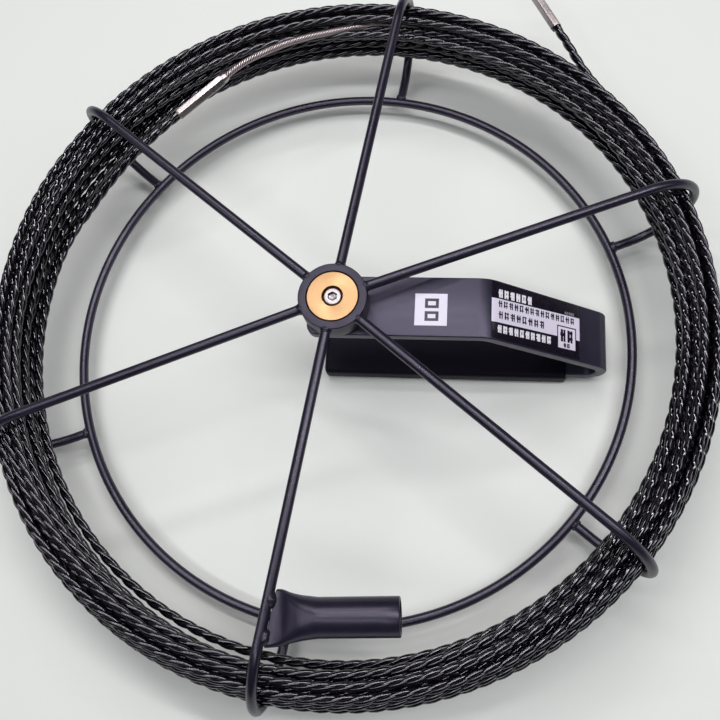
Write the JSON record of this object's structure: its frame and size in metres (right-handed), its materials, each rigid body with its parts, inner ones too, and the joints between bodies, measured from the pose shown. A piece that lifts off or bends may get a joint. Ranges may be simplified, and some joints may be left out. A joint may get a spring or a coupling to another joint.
{
  "type": "fish tape reel",
  "caption": "Open wire cage reel for a stiff twisted pulling line, spinning on a flanged brass bush round a bent strap handle with a grip sleeve.",
  "frame": {"origin": "on the reel's spin axis, in the plane that the grip's underside rests on, which is the lowest point of the part", "axes": "+Z along the spin axis, out of the hub face; +X along the handle, away from the hub; +Y to the left of the handle seen from the hub face"},
  "size_m": [0.3034, 0.3252, 0.0649],
  "materials": {
    "cage_coat": "semi-gloss black powder coat on round steel wire",
    "collar_coat": "dark grey satin coat on turned steel",
    "tube_coat": "semi-gloss black coat on thin steel tube",
    "line_filament": "glossy black twisted monofilament",
    "ferrule_steel": "bright swaged steel",
    "cable_steel": "bare stranded steel cable",
    "head_steel": "bright machined steel with flats",
    "strap_coat": "dark grey satin coat on flat steel bar",
    "grip_vinyl": "black vinyl, low sheen",
    "sticker_white": "white film sticker",
    "sticker_black": "printed black film sticker with a pale band",
    "bush_brass": "turned brass, fine face-turning marks",
    "bolt_steel": "bright stainless socket screw",
    "washer_nylon": "natural nylon",
    "washer_steel": "bright zinc plated steel",
    "nut_steel": "bright zinc plated steel"
  },
  "bodies": {
    "handle": {"handle_strap": "strap_coat", "grip_sleeve": "grip_vinyl", "label_square": "sticker_white", "label_main": "sticker_black", "pivot_bush": "bush_brass", "pivot_bolt": "bolt_steel", "thrust_washer": "washer_nylon", "plain_washer": "washer_steel", "lock_nut": "nut_steel"},
    "reel": {"hub_collar": "collar_coat", "arm_1": "cage_coat", "arm_2": "cage_coat", "arm_3": "cage_coat", "arm_4": "cage_coat", "arm_5": "cage_coat", "arm_6": "cage_coat", "rear_ring": "cage_coat", "hub_welds": "cage_coat", "ring_welds": "cage_coat", "end_tube": "tube_coat", "tube_welds": "cage_coat", "line_coil": "line_filament", "line_lead": "line_filament", "line_tail": "line_filament", "tail_ferrule": "ferrule_steel", "leader_sleeve": "ferrule_steel", "leader_cable": "cable_steel", "slim_head": "head_steel"}
  },
  "joints": [
    {"name": "reel_spin", "type": "hinge", "parent": "handle", "child": "reel", "pos_m": [0, 0, 0.06], "axis": [0, 0, 1], "continuous": true}
  ]
}
